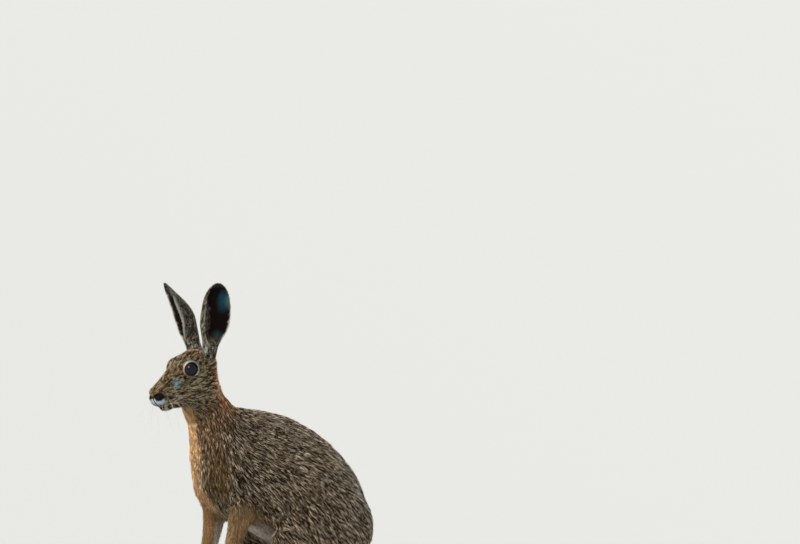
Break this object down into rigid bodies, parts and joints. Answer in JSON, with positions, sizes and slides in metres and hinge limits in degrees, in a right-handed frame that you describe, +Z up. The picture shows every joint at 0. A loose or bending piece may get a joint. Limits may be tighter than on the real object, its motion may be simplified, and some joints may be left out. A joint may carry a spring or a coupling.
{
  "type": "brown hare",
  "caption": "Life-size still model of a brown hare sitting up on straight forelegs with both ears raised.",
  "frame": {"origin": "middle of the model's length and width, on the floor", "axes": "+Z up, the hare faces -X and its left side is -Y"},
  "size_m": [0.379, 0.1556, 0.4376],
  "materials": {
    "grizzled_coat": "short dense fur, grizzled brown, black and buff",
    "russet_coat": "short dense fur, russet to orange buff",
    "ear_fur": "very short fur, grey brown with black tips",
    "paw_fur": "short fur, warm buff",
    "tail_fur": "soft fur, black above and white below",
    "eye": "polished, dark amber brown"
  },
  "bodies": {
    "root": {"head": "grizzled_coat", "neck": "russet_coat", "torso": "grizzled_coat", "tail": "tail_fur", "ear_left": "ear_fur", "ear_right": "ear_fur", "eye_left": "eye", "eye_right": "eye", "foreleg_left": "paw_fur", "foreleg_right": "paw_fur", "forepaw_left": "paw_fur", "forepaw_right": "paw_fur", "thigh_left": "grizzled_coat", "thigh_right": "grizzled_coat", "hind_foot_left": "paw_fur", "hind_foot_right": "paw_fur"}
  },
  "joints": []
}
